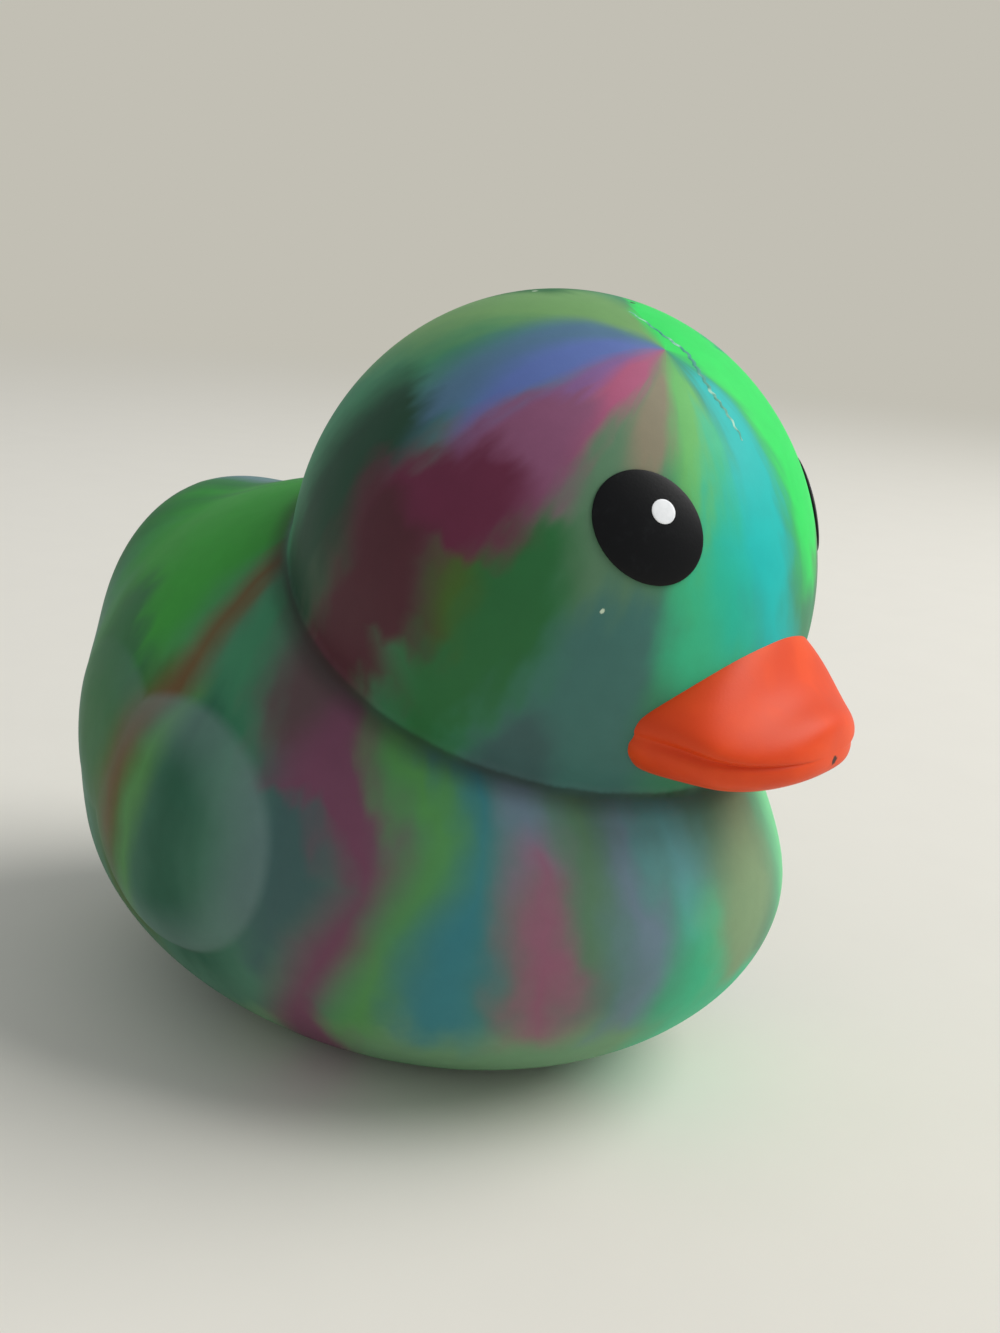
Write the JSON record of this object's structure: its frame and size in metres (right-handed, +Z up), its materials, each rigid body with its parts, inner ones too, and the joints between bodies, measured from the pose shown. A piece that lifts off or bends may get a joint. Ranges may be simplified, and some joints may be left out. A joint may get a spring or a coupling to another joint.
{
  "type": "squishy toy duck",
  "caption": "Soft moulded toy duck in marbled silicone, with a large round head, broad upswept tail, low relief wings, separate bill and domed oval eyes, standing on a flat base",
  "frame": {"origin": "centre of the flat base, on the plane of symmetry", "axes": "-Y is the way the duck faces, +Z is up, -X is the duck's right"},
  "size_m": [0.0692, 0.0892, 0.0782],
  "materials": {
    "marbled_silicone": "matt silky silicone marbled in green, teal, blue, violet and magenta",
    "orange_silicone": "matt orange-red silicone",
    "black_silicone": "satin black with one white spot painted on it"
  },
  "bodies": {
    "root": {"body": "marbled_silicone", "beak": "orange_silicone", "eye_right": "black_silicone", "eye_left": "black_silicone"}
  },
  "joints": []
}
